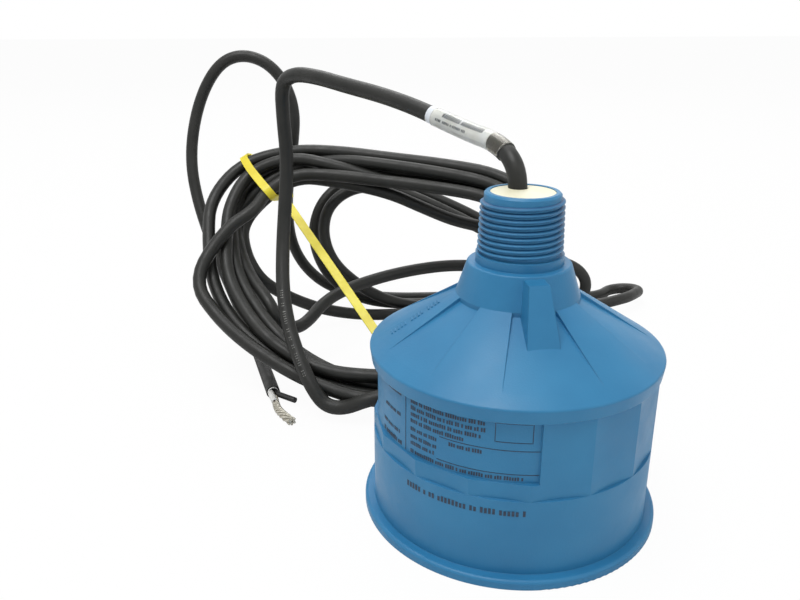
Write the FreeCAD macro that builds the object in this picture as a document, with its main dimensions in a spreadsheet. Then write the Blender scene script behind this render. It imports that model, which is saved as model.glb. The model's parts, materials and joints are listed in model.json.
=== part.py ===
import FreeCAD, Part
import math
import os
import re
import Sketcher

# Sealed ultrasonic transducer head: a moulded drum with a thin radiating face, a conical lid with a
# threaded neck, the driven stack inside, and the cable that leaves the neck and lies in a tied hank.
# Millimetres, +Z up, origin at the centre of the radiating face. The two lugs lie on the Y axis.

Vector = FreeCAD.Vector

DIMENSIONS = {
    # drum with its foot flange, flats and label recess
    "flange_radius": 60.5,
    "flange_height": 4.0,
    "flange_round": 1.4,
    "foot_round": 0.6,
    "drum_radius": 56.4,
    "drum_wall": 4.4,
    "face_thickness": 2.5,
    "ledge_height": 34.7,
    "flat_count": 16,
    "flat_turn": 3.5,
    "label_depth": 1.7,
    "label_foot": 41.3,
    "label_middle": -150.7,
    "label_span": 111.6,
    # joint between drum and lid
    "joint_height": 65.5,
    "spigot_step": 1.8,
    "spigot_height": 3.2,
    "fit_gap": 0.1,
    "seat_gap": 0.3,
    # lid with cone, collar, lugs and neck
    "skirt_overhang": 0.6,
    "skirt_round": 0.5,
    "rim_overhang": 0.8,
    "rim_rise": 5.5,
    "rim_round": 0.9,
    "cover_wall": 3.0,
    "collar_foot_radius": 24.0,
    "collar_foot_rise": 27.0,
    "collar_top_radius": 19.9,
    "collar_rise": 12.5,
    "collar_round": 1.0,
    "sector_step": 1.7,
    "sector_end_inset": 5.3,
    "lug_sector": 40.0,
    "side_sector": 30.0,
    "side_sector_turn": 25.0,
    "lug_top_rise": 11.5,
    "lug_top_width": 7.7,
    "lug_top_reach": 27.3,
    "lug_top_root": 16.0,
    "lug_foot_drop": 11.0,
    "lug_foot_width": 12.6,
    "lug_foot_reach": 37.2,
    "lug_foot_root": 29.0,
    "neck_radius": 16.9,
    "neck_rise": 27.0,
    "neck_bore": 12.3,
    "throat_radius": 10.5,
    "thread_start_rise": 3.5,
    "thread_lead_in": 2.5,
    "thread_taper": 0.0625,
    "lead_in_radius": 14.5,
    "lead_in_bevel": 0.8,
    # resin plug in the neck
    "potting_depth": 30.0,
    "potting_dip": 0.3,
    "cable_depth": 10.0,
    "cable_offset": 7.0,
    "cable_rise": 5.0,
    # driven stack on the axis
    "matching_clearance": 2.0,
    "matching_height": 6.0,
    "head_step": 2.0,
    "head_rim": 5.0,
    "head_height": 17.5,
    "head_top_radius": 19.5,
    "stack_radius": 19.0,
    "stack_bore": 6.6,
    "piezo_height": 6.0,
    "electrode_height": 0.5,
    "tab_reach": 25.0,
    "tab_width": 5.0,
    "tail_height": 20.0,
    "tail_bevel": 1.5,
    "bolt_radius": 4.0,
    "bolt_engagement": 14.0,
    "bolt_tip_gap": 2.0,
    "bolt_head_flats": 13.0,
    "bolt_head_height": 5.3,
    "washer_radius": 8.4,
    "washer_height": 1.6,
    # damping foam, temperature bead and inner leads
    "liner_thickness": 4.7,
    "liner_drop": 3.5,
    "pad_bore": 28.0,
    "pad_height": 4.0,
    "slot_width": 5.4,
    "slot_overcut": 1.0,
    "bead_radius": 2.1,
    "bead_height": 9.0,
    "bead_inset": 2.6,
    "lead_radius": 0.8,
    "lead_spread": 2.2,
    "tab_landing": 23.0,
    # cable and the pieces on it
    "cable_radius": 3.7,
    "label_wrap": 0.2,
    "sleeve_wall": 0.4,
    "wrap_gap": 0.05,
    "tie_width": 4.8,
    "tie_thickness": 1.2,
    "tie_tail": 135.0,
    "tie_tail_drift": 11.8,
    "tie_head_length": 8.0,
    "tie_head_width": 7.5,
    "tie_head_height": 5.0,
    "white_core_radius": 1.9,
    "black_core_radius": 1.3,
    "pigtail_radius": 1.3,
    # tied hank of turns, leaning back from its foot
    "coil_x": -44.0,
    "coil_y": 131.7,
    "coil_z": 57.5,
    "coil_lean": 48.0,
    "coil_yaw": -16.5,
    "coil_half_width": 12.5,
    "coil_half_depth": 8.0,
    "coil_end_radius": 5.5,
}

# Radii and heights that follow from the sizes above.
DERIVED = {
    "drum_bore": "drum_radius - drum_wall",
    "label_floor_radius": "drum_radius - label_depth",
    "spigot_radius": "drum_radius - spigot_step",
    "skirt_radius": "drum_radius + skirt_overhang",
    "rim_radius": "skirt_radius + rim_overhang",
    "sector_end_radius": "rim_radius - sector_end_inset",
    "liner_radius": "drum_bore - seat_gap",
    "liner_bore": "liner_radius - liner_thickness",
    "matching_radius": "liner_bore - matching_clearance",
    "head_radius": "matching_radius - head_step",
    "slot_root": "liner_bore - slot_overcut",
    "bead_place": "drum_bore - bead_inset",
    "rim_height": "joint_height + rim_rise",
    "collar_foot_height": "joint_height + collar_foot_rise",
    "collar_top_height": "collar_foot_height + collar_rise",
    "lug_top": "collar_foot_height + lug_top_rise",
    "lug_foot": "collar_foot_height - lug_foot_drop",
    "thread_start": "collar_top_height + thread_start_rise",
    "neck_top": "collar_top_height + neck_rise",
    "thread_end": "neck_top - thread_lead_in",
    "potting_seat": "neck_top - potting_depth",
    "cable_foot": "neck_top - cable_depth",
    "liner_top": "joint_height - liner_drop",
}

# Route of the cable over from the neck, with heights from the neck's top, then its fall to the hank.
ARCH_ROUTE = [
    (-3, 17, 13), (-9, 31, 15), (-16, 46, 18), (-30, 67, 23), (-44, 84, 27), (-59, 99, 30), (-73, 113, 32),
    (-84, 126, 31), (-90, 135, 23), (-91, 139, 10),
]
FALL_ROUTE = [
    (-90, 139, 122), (-92, 136, 100), (-94, 128, 77), (-95, 115, 58), (-92, 102, 42), (-83, 86, 20),
]
MARKER_START = (-9, 31, 15)

# Middle line of the hank in its own plane: from the foot to the right, over the top and down the left.
COIL_STATIONS = [
    (10, -68), (37, -65), (62, -54), (81, -36), (91, -10), (92, 18), (84, 44), (63, 60), (31, 66), (-2, 70),
    (-32, 73), (-59, 73), (-80, 59), (-93, 40), (-93, 18), (-84, -6), (-69, -28), (-48, -48), (-20, -63),
]
TIE_START = (-59, 73)

# Route of the inner turn, which crosses the middle of the hank.
INNER_ROUTE = [
    (-104, 112, 29), (-94, 128, 30), (-84, 145, 30), (-70, 166, 31), (-50, 182, 34), (-22, 191, 38),
    (9, 193, 41), (36, 190, 41), (58, 184, 42), (72, 178, 48), (74, 174, 58), (63, 173, 66), (40, 175, 67),
    (13, 178, 73), (-8, 180, 82), (-30, 183, 92),
]

# Route of the two looser turns behind the hank.
BACK_ROUTE = [
    (-117, 147, 57), (-109, 155, 49), (-100, 167, 38), (-87, 184, 24), (-68, 198, 11), (-40, 204, 4),
    (-8, 205, 4), (25, 203, 4), (54, 200, 4), (79, 196, 8), (96, 190, 16), (100, 187, 27), (91, 188, 36),
    (72, 192, 43), (48, 199, 54), (24, 207, 66), (-2, 216, 78), (-26, 222, 87), (-44, 224, 87),
    (-57, 223, 82), (-66, 220, 73), (-69, 215, 61), (-67, 211, 49), (-61, 208, 38), (-50, 208, 27),
    (-36, 210, 16), (-16, 213, 7), (12, 214, 4), (42, 212, 4), (68, 209, 7), (87, 205, 17), (93, 202, 30),
    (84, 202, 42), (66, 206, 50), (44, 214, 60), (22, 222, 71), (-3, 231, 81), (-29, 237, 88),
    (-48, 238, 89), (-62, 237, 83), (-73, 233, 73), (-78, 228, 59), (-77, 223, 45), (-71, 219, 31),
    (-60, 218, 19), (-42, 220, 9), (-14, 222, 4), (20, 223, 4), (55, 222, 4), (78, 214, 4), (95, 202, 5),
    (107, 194, 7), (113, 193.5, 8),
]

# Route of the last stretch: a bend on the floor, up over the loose loop and down to the bare end.
END_ROUTE = [
    (113, 193.5, 8), (119, 193, 9), (130, 200, 10), (140, 210, 9), (148, 219, 8), (153, 228, 6),
    (152, 236, 4), (145, 240.5, 4), (134, 237, 4), (118, 229, 4), (98, 230, 4), (72, 235, 4), (44, 233, 4),
    (10, 233, 4), (-22, 236, 4), (-48, 238, 7), (-68, 239, 15), (-81, 241, 28), (-88, 241, 45),
    (-90, 241, 64), (-88, 240, 83), (-85, 241, 100), (-83, 241, 116), (-82, 242, 131), (-85, 243, 144),
    (-92, 245, 155), (-103, 247, 163), (-116, 250, 166), (-128, 251, 162), (-138, 251, 151),
    (-146, 249, 135), (-151, 245, 116), (-152, 239, 98), (-149, 231, 80), (-143, 220, 61), (-135, 208, 42),
    (-127, 197, 24), (-119, 181, 10), (-112, 156, 4), (-107, 129, 4), (-103, 104, 4),
]

# Routes of the bare cores, in steps along, across and up from the jacket's cut end.
WHITE_CORE_ROUTE = [(0, -1.6, 0), (5, -1.6, 0), (9, -1.2, 0)]
BLACK_CORE_ROUTE = [(0, 2.0, 0), (4, 2.0, 0), (8, 4.4, 0.6), (13, 9.4, 0.4), (17, 13.6, -0.6)]
PIGTAIL_ROUTE = [
    (0, 0.9, -2.4), (6, 0.9, -2.4), (13, 0.2, -2.4), (21, 2.0, -2.4), (29, 5.4, -2.4), (36, 9.6, -2.4),
]

doc = FreeCAD.newDocument("level_transducer")
sheet = doc.addObject("Spreadsheet::Sheet", "dims")
cells = {alias: str(amount) for alias, amount in DIMENSIONS.items()}
cells.update({alias: "=" + formula for alias, formula in DERIVED.items()})
for row, (alias, content) in enumerate(cells.items(), start=1):
    sheet.set(f"A{row}", alias)
    sheet.setAlias(f"B{row}", alias)
    sheet.set(f"B{row}", content)
doc.recompute()


def bound(text):
    """The expression with each named size written as a cell of the sheet."""
    return re.sub(r"[A-Za-z_]\w*", lambda m: "dims." + m.group() if m.group() in cells else m.group(), text)


def size(text):
    """The value of an expression of named sizes."""
    return float(sheet.evalExpression(bound(text)))


def origin_item(body, role):
    """A plane or axis of the body's own origin."""
    return next(item for item in body.Origin.OriginFeatures if item.Role == role)


def outline(body, name, role, corners, lift=None, spin=None):
    """A closed sketch whose corners are bound to the sheet, lifted off or turned about the Z axis."""
    sketch = body.newObject("Sketcher::SketchObject", name)
    sketch.AttachmentSupport = (origin_item(body, role), [""])
    sketch.MapMode = "FlatFace"
    upright = role != "XY_Plane"
    if spin is not None:
        axis = Vector(0, 1, 0) if upright else Vector(0, 0, 1)
        sketch.AttachmentOffset = FreeCAD.Placement(Vector(), FreeCAD.Rotation(axis, size(spin)))
        sketch.setExpression("AttachmentOffset.Rotation.Angle", bound(spin))
    if lift is not None:
        sketch.setExpression("AttachmentOffset.Base.z", bound(lift))
    points = [Vector(size(x), size(y), 0) for x, y in corners]
    count = len(points)
    for index in range(count):
        sketch.addGeometry(Part.LineSegment(points[index], points[(index + 1) % count]))
    for index in range(count):
        sketch.addConstraint(Sketcher.Constraint("Coincident", index, 2, (index + 1) % count, 1))
    for index, corner in enumerate(corners):
        for kind, text, axis_line in (("DistanceX", corner[0], -2), ("DistanceY", corner[1], -1)):
            if text == "0":
                sketch.addConstraint(Sketcher.Constraint("PointOnObject", index, 1, axis_line))
                continue
            constraint = Sketcher.Constraint(kind, -1, 1, index, 1, size(text))
            number = sketch.addConstraint(constraint)
            title = f"{kind[-1].lower()}{index}"
            sketch.renameConstraint(number, title)
            sketch.setExpression(f"Constraints.{title}", bound(text))
    return sketch


def rectangle(body, name, left, right, low, high, lift=None, spin=None):
    """A four-cornered outline on the horizontal plane."""
    corners = [(left, low), (right, low), (right, high), (left, high)]
    return outline(body, name, "XY_Plane", corners, lift, spin)


def holes(body, name, places, radius, lift):
    """Round outlines on the horizontal plane."""
    sketch = body.newObject("Sketcher::SketchObject", name)
    sketch.AttachmentSupport = (origin_item(body, "XY_Plane"), [""])
    sketch.MapMode = "FlatFace"
    sketch.setExpression("AttachmentOffset.Base.z", bound(lift))
    for index, (x, y) in enumerate(places):
        middle = Vector(size(x), size(y), 0)
        sketch.addGeometry(Part.Circle(middle, Vector(0, 0, 1), size(radius)))
        terms = [("Radius", radius, Sketcher.Constraint("Radius", index, size(radius)))]
        for kind, text, axis_line in (("DistanceX", x, -2), ("DistanceY", y, -1)):
            if text == "0":
                sketch.addConstraint(Sketcher.Constraint("PointOnObject", index, 3, axis_line))
            else:
                terms.append((kind, text, Sketcher.Constraint(kind, -1, 1, index, 3, size(text))))
        for kind, text, constraint in terms:
            number = sketch.addConstraint(constraint)
            title = f"{kind[-1].lower()}{index}"
            sketch.renameConstraint(number, title)
            sketch.setExpression(f"Constraints.{title}", bound(text))
    return sketch


def turned(label, corners):
    """A body turned about the Z axis from a profile of radius and height."""
    body = doc.addObject("PartDesign::Body", label)
    sketch = outline(body, label + "_profile", "XZ_Plane", corners)
    turn = body.newObject("PartDesign::Revolution", label + "_turned")
    turn.Profile = sketch
    turn.ReferenceAxis = (sketch, ["V_Axis"])
    turn.Angle = 360
    doc.recompute()
    return body


def ring(label, inner, outer, low, high):
    """A plain turned ring."""
    return turned(label, [(inner, low), (outer, low), (outer, high), (inner, high)])


def padded(body, name, sketch, length, both_ways=False):
    """Raise an outline by a length, upwards or to both sides."""
    pad = body.newObject("PartDesign::Pad", name)
    pad.Profile = sketch
    pad.SideType = "Symmetric" if both_ways else "One side"
    pad.setExpression("Length", bound(length))
    doc.recompute()
    return pad


def must_cut(body, before, name):
    """Stop if a cut took nothing away."""
    if not body.Shape.Volume < before:
        raise ValueError(f"{name} removes nothing")


def pocketed(body, name, sketch, length):
    """Cut an outline upwards from its own plane."""
    before = body.Shape.Volume
    pocket = body.newObject("PartDesign::Pocket", name)
    pocket.Profile = sketch
    pocket.Reversed = True
    pocket.setExpression("Length", bound(length))
    doc.recompute()
    must_cut(body, before, name)
    return pocket


def grooved(body, name, sketch, angle):
    """Cut a profile round the Z axis, half the angle to each side of its plane."""
    before = body.Shape.Volume
    groove = body.newObject("PartDesign::Groove", name)
    groove.Profile = sketch
    groove.ReferenceAxis = (sketch, ["V_Axis"])
    groove.Midplane = True
    groove.setExpression("Angle", bound(angle))
    doc.recompute()
    must_cut(body, before, name)
    return groove


def repeated_round(body, name, feature, count):
    """Repeat a feature evenly about the Z axis."""
    pattern = body.newObject("PartDesign::PolarPattern", name)
    pattern.Originals = [feature]
    pattern.Axis = (origin_item(body, "Z_Axis"), [""])
    pattern.Angle = 360
    pattern.setExpression("Occurrences", bound(count))
    body.Tip = pattern
    doc.recompute()
    return pattern


def rounded(body, name, radius, edge_radius, edge_height):
    """Round the circular edge that has this radius and height."""
    feature = body.Tip
    found = []
    for number, edge in enumerate(feature.Shape.Edges, start=1):
        curve = edge.Curve
        if isinstance(curve, Part.Circle) and abs(curve.Radius - size(edge_radius)) < 1e-4:
            if abs(curve.Center.z - size(edge_height)) < 1e-4:
                found.append(f"Edge{number}")
    fillet = body.newObject("PartDesign::Fillet", name)
    fillet.Base = (feature, found)
    fillet.setExpression("Radius", bound(radius))
    doc.recompute()
    return fillet


# Drum: cup, sixteen flats above the ledge, label recess, rounded flange.
SPIGOT_TOP = "joint_height + spigot_height"
CUT_CLEAR = "drum_radius + flange_height"
drum = turned("drum_housing", [
    ("0", "0"), ("flange_radius", "0"), ("flange_radius", "flange_height"), ("drum_radius", "flange_height"),
    ("drum_radius", "joint_height"), ("spigot_radius", "joint_height"), ("spigot_radius", SPIGOT_TOP),
    ("drum_bore", SPIGOT_TOP), ("drum_bore", "face_thickness"), ("0", "face_thickness"),
])
rounded(drum, "flange_edge", "flange_round", "flange_radius", "flange_height")
rounded(drum, "foot_edge", "foot_round", "flange_radius", "0")
FLAT_REACH = "drum_radius * sin(180 / flat_count) + flange_height"
FLAT_DEPTH = "drum_radius * cos(180 / flat_count)"
flat_outline = rectangle(
    drum, "flat_outline", FLAT_DEPTH, CUT_CLEAR, "-(" + FLAT_REACH + ")", FLAT_REACH,
    lift="ledge_height", spin="flat_turn",
)
flat = pocketed(drum, "flat", flat_outline, "joint_height - ledge_height")
repeated_round(drum, "flats", flat, "flat_count")
label_outline = outline(drum, "label_outline", "XZ_Plane", [
    ("label_floor_radius", "label_foot"), (CUT_CLEAR, "label_foot"),
    (CUT_CLEAR, "joint_height"), ("label_floor_radius", "joint_height"),
], spin="label_middle")
grooved(drum, "label_recess", label_outline, "label_span")

# Lid: skirt, cone, collar and neck in one turned shell, then the recessed sectors and the two lugs.
SKIRT_BORE = "spigot_radius + fit_gap"
THREAD_ROOT = "lead_in_radius + (thread_end - thread_start) * thread_taper / 2"
cover = turned("cone_cover", [
    (SKIRT_BORE, "joint_height"), ("skirt_radius", "joint_height"), ("rim_radius", "rim_height"),
    ("collar_foot_radius", "collar_foot_height"), ("collar_top_radius", "collar_top_height"),
    ("neck_radius", "collar_top_height"), ("neck_radius", "thread_start"), (THREAD_ROOT, "thread_start"),
    ("lead_in_radius", "thread_end"), ("lead_in_radius", "neck_top - lead_in_bevel"),
    ("lead_in_radius - lead_in_bevel", "neck_top"), ("neck_bore", "neck_top"), ("neck_bore", "potting_seat"),
    ("throat_radius", "potting_seat"), ("throat_radius", "collar_foot_height - cover_wall"),
    (SKIRT_BORE, SPIGOT_TOP + " + seat_gap"),
])
rounded(cover, "skirt_edge", "skirt_round", "skirt_radius", "joint_height")
rounded(cover, "rim_edge", "rim_round", "rim_radius", "rim_height")
rounded(cover, "collar_edge", "collar_round", "collar_top_radius", "collar_top_height")
CONE_SLOPE = "(collar_foot_height - rim_height) / (rim_radius - collar_foot_radius)"
SECTOR_END = "rim_height + (rim_radius - sector_end_radius) * " + CONE_SLOPE
sector_corners = [
    ("collar_foot_radius", "collar_foot_height - sector_step"), ("sector_end_radius", SECTOR_END),
    ("sector_end_radius", SECTOR_END + " + sector_step"),
    ("collar_foot_radius", "collar_foot_height + sector_step"),
]
for title, turn, span in (
    ("lug_sector", "90", "lug_sector"),
    ("left_sector", "side_sector_turn", "side_sector"),
    ("right_sector", "180 - side_sector_turn", "side_sector"),
):
    sector_outline = outline(cover, title + "_outline", "XZ_Plane", sector_corners, spin=turn)
    sector = grooved(cover, title + "_recess", sector_outline, span)
    repeated_round(cover, title + "_pair", sector, "2")
lug_head = rectangle(
    cover, "lug_head", "-lug_top_width / 2", "lug_top_width / 2", "lug_top_root", "lug_top_reach",
    lift="lug_top",
)
lug_base = rectangle(
    cover, "lug_base", "-lug_foot_width / 2", "lug_foot_width / 2", "lug_foot_root", "lug_foot_reach",
    lift="lug_foot",
)
lug = cover.newObject("PartDesign::AdditiveLoft", "lug")
lug.Profile = lug_head
lug.Sections = [lug_base]
lug.Ruled = True
doc.recompute()
repeated_round(cover, "lugs", lug, "2")

# Resin plug: seated on the step in the neck, with a socket for the cable and a hole for each inner lead.
POTTING_TOP = "neck_top - potting_dip"
CABLE_SOCKET = "cable_radius + fit_gap"
potting = turned("potting_fill", [
    ("0", "potting_seat"), ("neck_bore - fit_gap", "potting_seat"), ("neck_bore - fit_gap", POTTING_TOP),
    ("0", POTTING_TOP),
])
socket = holes(potting, "socket_outline", [("0", "cable_offset")], CABLE_SOCKET, "cable_foot")
pocketed(potting, "cable_socket", socket, "cable_depth")
lead_places = [
    ("lead_spread", "cable_offset"), ("-lead_spread", "cable_offset"), ("0", "cable_offset - lead_spread"),
]
lead_holes = holes(potting, "lead_holes", lead_places, "lead_radius + fit_gap", "potting_seat")
pocketed(potting, "lead_passages", lead_holes, "cable_foot - potting_seat")

# Driven stack, from the radiating face upwards.
MATCHING_TOP = "face_thickness + matching_height"
HEAD_TOP = MATCHING_TOP + " + head_height"
CENTRE_LOW = HEAD_TOP + " + piezo_height"
CENTRE_TOP = CENTRE_LOW + " + electrode_height"
GROUND_LOW = CENTRE_TOP + " + piezo_height"
GROUND_TOP = GROUND_LOW + " + electrode_height"
TAIL_TOP = GROUND_TOP + " + tail_height"
WASHER_TOP = TAIL_TOP + " + washer_height"
BOLT_BORE = "bolt_radius + fit_gap"
BOLT_TIP = HEAD_TOP + " - bolt_engagement"

matching = doc.addObject("Part::Cylinder", "matching_disc")
matching.setExpression("Radius", bound("matching_radius"))
matching.setExpression("Height", bound("matching_height"))
matching.setExpression("Placement.Base.z", bound("face_thickness"))

turned("head_mass", [
    ("0", MATCHING_TOP), ("head_radius", MATCHING_TOP), ("head_radius", MATCHING_TOP + " + head_rim"),
    ("head_top_radius", HEAD_TOP), (BOLT_BORE, HEAD_TOP), (BOLT_BORE, BOLT_TIP + " - bolt_tip_gap"),
    ("0", BOLT_TIP + " - bolt_tip_gap"),
])
ring("lower_piezo_ring", "stack_bore", "stack_radius", HEAD_TOP, CENTRE_LOW)
ring("upper_piezo_ring", "stack_bore", "stack_radius", CENTRE_TOP, GROUND_LOW)
for label, low, high, turn in (
    ("centre_electrode", CENTRE_LOW, CENTRE_TOP, "0"),
    ("ground_electrode", GROUND_LOW, GROUND_TOP, "180"),
):
    electrode = ring(label, "stack_bore", "stack_radius", low, high)
    tab = rectangle(
        electrode, label + "_tab_outline", "(stack_bore + stack_radius) / 2", "tab_reach", "-tab_width / 2",
        "tab_width / 2", lift=low, spin=turn,
    )
    padded(electrode, label + "_tab", tab, "electrode_height")
turned("tail_mass", [
    (BOLT_BORE, GROUND_TOP), ("stack_radius", GROUND_TOP), ("stack_radius", TAIL_TOP + " - tail_bevel"),
    ("stack_radius - tail_bevel", TAIL_TOP), (BOLT_BORE, TAIL_TOP),
])
ring("bolt_washer", BOLT_BORE, "washer_radius", TAIL_TOP, WASHER_TOP)
ring("bolt_sleeve", BOLT_BORE, "stack_bore - fit_gap", HEAD_TOP, GROUND_TOP)
bolt = turned("clamp_bolt", [
    ("0", BOLT_TIP), ("bolt_radius", BOLT_TIP), ("bolt_radius", WASHER_TOP), ("0", WASHER_TOP),
])
hexagon = [
    (f"bolt_head_flats / cos(30) / 2 * cos({60 * step})", f"bolt_head_flats / cos(30) / 2 * sin({60 * step})")
    for step in range(6)
]
hexagon[0] = (hexagon[0][0], "0")
hexagon[3] = (hexagon[3][0], "0")
bolt_head = outline(bolt, "bolt_head_outline", "XY_Plane", hexagon, lift=WASHER_TOP)
padded(bolt, "bolt_head", bolt_head, "bolt_head_height")

# Damping foam with the slot that the temperature bead and its lead use.
PAD_TOP = "liner_top + pad_height"
liner = ring("foam_liner", "liner_bore", "liner_radius", "face_thickness", "liner_top")
pad_ring = ring("foam_pad", "pad_bore", "liner_radius", "liner_top", PAD_TOP)
for body, low, height in (
    (liner, "face_thickness", "liner_top - face_thickness"),
    (pad_ring, "liner_top", "pad_height"),
):
    slot = rectangle(
        body, body.Label + "_slot_outline", "-slot_width / 2", "slot_width / 2", "slot_root", CUT_CLEAR,
        lift=low,
    )
    pocketed(body, body.Label + "_slot", slot, height)
BEAD_TOP = "face_thickness + bead_height"
bead = turned("temperature_sensor", [
    ("0", "face_thickness"), ("bead_radius", "face_thickness"), ("bead_radius", BEAD_TOP + " - bead_radius"),
    ("lead_radius", BEAD_TOP), ("0", BEAD_TOP),
])
bead.setExpression("Placement.Base.y", bound("bead_place"))


BEND_SHARE = 0.45


def path_edges(points):
    """Straight runs joined by tangent arcs that take up to this share of each run."""
    edges = []
    radii = []
    start = points[0]
    for before, corner, after in zip(points[:-2], points[1:-1], points[2:]):
        inward = (before - corner).normalize()
        onward = (after - corner).normalize()
        reach = BEND_SHARE * min((before - corner).Length, (after - corner).Length)
        half_turn = (math.pi - inward.getAngle(onward)) / 2
        radius = reach / math.tan(half_turn)
        middle = (inward + onward).normalize()
        sagitta = radius / math.cos(half_turn) - radius
        arc_start = corner + inward * reach
        arc_end = corner + onward * reach
        edges.append(Part.LineSegment(start, arc_start).toShape())
        edges.append(Part.Arc(arc_start, corner + middle * sagitta, arc_end).toShape())
        radii.append(round(radius, 1))
        start = arc_end
    edges.append(Part.LineSegment(start, points[-1]).toShape())
    return edges, radii


def swept(edges, radius):
    """A round bar along joined edges."""
    first = edges[0]
    begin = first.valueAt(first.FirstParameter)
    heading = first.tangentAt(first.FirstParameter)
    section = Part.Wire([Part.Circle(begin, heading, radius).toShape()])
    return Part.Wire(edges).makePipeShell([section], True, False)


def tube(label, points, radius):
    """A cord or wire as its own object, with its bends and its volume printed."""
    edges, radii = path_edges(points)
    shape = swept(edges, radius)
    expected = math.pi * radius ** 2 * sum(edge.Length for edge in edges)
    print(label, "bend radii", radii, "volume over section times length", round(shape.Volume / expected, 4))
    feature = doc.addObject("Part::Feature", label)
    feature.Shape = shape
    return feature, edges


# Inner leads: from the cable's foot through the resin to the electrode tabs and the temperature bead.
lead_radius = size("lead_radius")
spread = size("lead_spread")
cable_offset = size("cable_offset")
cable_foot = size("cable_foot")
below_seat = (size("potting_seat - seat_gap") - BEND_SHARE * cable_foot) / (1 - BEND_SHARE)
landing = size("tab_landing")
pad_top = size(PAD_TOP)
elbow = (pad_top + below_seat) / 2
for label, side, foot in (("white_lead", 1, CENTRE_TOP), ("black_lead", -1, GROUND_TOP)):
    tube(label, [
        Vector(side * spread, cable_offset, cable_foot), Vector(side * spread, cable_offset, below_seat),
        Vector(side * landing, 0, pad_top), Vector(side * landing, 0, size(foot)),
    ], lead_radius)
bead_place = size("bead_place")
under_cone = pad_top + lead_radius * 6
tube("sensor_lead", [
    Vector(0, cable_offset - spread, cable_foot), Vector(0, cable_offset - spread, below_seat),
    Vector(0, bead_place / 3, elbow),
    Vector(0, bead_place * 0.77, under_cone), Vector(0, bead_place, pad_top),
    Vector(0, bead_place, size(BEAD_TOP)),
], lead_radius)


def coil_placement():
    """Where the hank's own plane lies: yawed about Z, then leaned back."""
    centre = Vector(size("coil_x"), size("coil_y"), size("coil_z"))
    yaw = FreeCAD.Rotation(Vector(0, 0, 1), size("coil_yaw"))
    lean = FreeCAD.Rotation(Vector(1, 0, 0), size("90 - coil_lean"))
    return FreeCAD.Placement(centre, yaw.multiply(lean))


def oval(grown):
    """The hank's section as four tangent arcs, grown outwards by a distance."""
    wide = size("coil_half_width")
    deep = size("coil_half_depth")
    end_radius = size("coil_end_radius")
    side_radius = (wide ** 2 + deep ** 2 - 2 * wide * end_radius) / (2 * (deep - end_radius))
    end_centre = wide - end_radius
    side_centre = side_radius - deep
    joint = math.atan2(side_centre, end_centre)
    arcs = []
    for x, y, radius, first, last in (
        (end_centre, 0, end_radius, -joint, joint),
        (0, -side_centre, side_radius, joint, math.pi - joint),
        (-end_centre, 0, end_radius, math.pi - joint, math.pi + joint),
        (0, side_centre, side_radius, math.pi + joint, 2 * math.pi - joint),
    ):
        circle = Part.Circle(Vector(x, y, 0), Vector(0, 0, 1), radius + grown)
        arcs.append(Part.ArcOfCircle(circle, first, last))
    return arcs


def coil(label):
    """One closed solid of the hank's outer shape: an oval section carried round its middle line."""
    corners = [Vector(x, y, 0) for x, y in COIL_STATIONS]
    edges, radii = path_edges([corners[-1]] + corners + corners[:2])
    upright = Vector(0, 0, 1)
    pieces = []
    for edge in edges[2:-1]:
        begin = edge.valueAt(edge.FirstParameter)
        heading = edge.tangentAt(edge.FirstParameter)
        outward = heading.cross(upright)
        section = Part.Face(Part.Wire([arc.toShape() for arc in oval(0)]))
        across = FreeCAD.Rotation(outward, upright, outward.cross(upright), "XYZ")
        section.Placement = FreeCAD.Placement(begin, across)
        if isinstance(edge.Curve, Part.Circle):
            sweep = math.degrees(edge.Length / edge.Curve.Radius)
            pieces.append(section.revolve(edge.Curve.Center, edge.Curve.Axis, sweep))
        else:
            pieces.append(section.extrude(heading * edge.Length))
    print(label, "bend radii", radii)
    feature = doc.addObject("Part::Feature", label)
    feature.Shape = pieces[0].multiFuse(pieces[1:]).removeSplitter()
    feature.Placement = coil_placement()
    return feature


def cut_back(points, solid, radius):
    """The route with its first point moved along the first run until the cut end there clears the solid."""
    heading = (points[1] - points[0]).normalize()
    step = size("seat_gap")
    start = points[0]
    cut_face = Part.Face(Part.Wire([Part.Circle(start, heading, radius).toShape()]))
    while solid.isInside(start, 0, True) or cut_face.distToShape(solid)[0] < step / 2:
        start = start + heading * step
        cut_face.translate(heading * step)
    return [start] + points[1:]


# Cable: lead, tied hank, the turn across it, the looser turns and the last stretch.
cable_radius = size("cable_radius")
hank = coil("cable_coil").Shape
neck_top = size("neck_top")
lead_points = [Vector(0, cable_offset, cable_foot), Vector(0, cable_offset, neck_top + size("cable_rise"))]
lead_points += [Vector(x, y, neck_top + rise) for x, y, rise in ARCH_ROUTE]
lead_points += [Vector(*point) for point in FALL_ROUTE]
lead_points = cut_back(lead_points[::-1], hank, cable_radius)[::-1]
lead, lead_edges = tube("cable_lead", lead_points, cable_radius)
inner_points = cut_back([Vector(*point) for point in INNER_ROUTE], hank, cable_radius)
inner_points = cut_back(inner_points[::-1], hank, cable_radius)[::-1]
tube("cable_inner_turn", inner_points, cable_radius)
back_points = cut_back([Vector(*point) for point in BACK_ROUTE], hank, cable_radius)
tube("cable_back_turns", back_points, cable_radius)
end_run, end_edges = tube("cable_end_run", [Vector(*point) for point in END_ROUTE], cable_radius)


def wrap(label, edges, inner, outer):
    """A thin sleeve round a few edges of the cable's line."""
    feature = doc.addObject("Part::Feature", label)
    feature.Shape = swept(edges, outer).cut(swept(edges, inner))
    return feature


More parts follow.
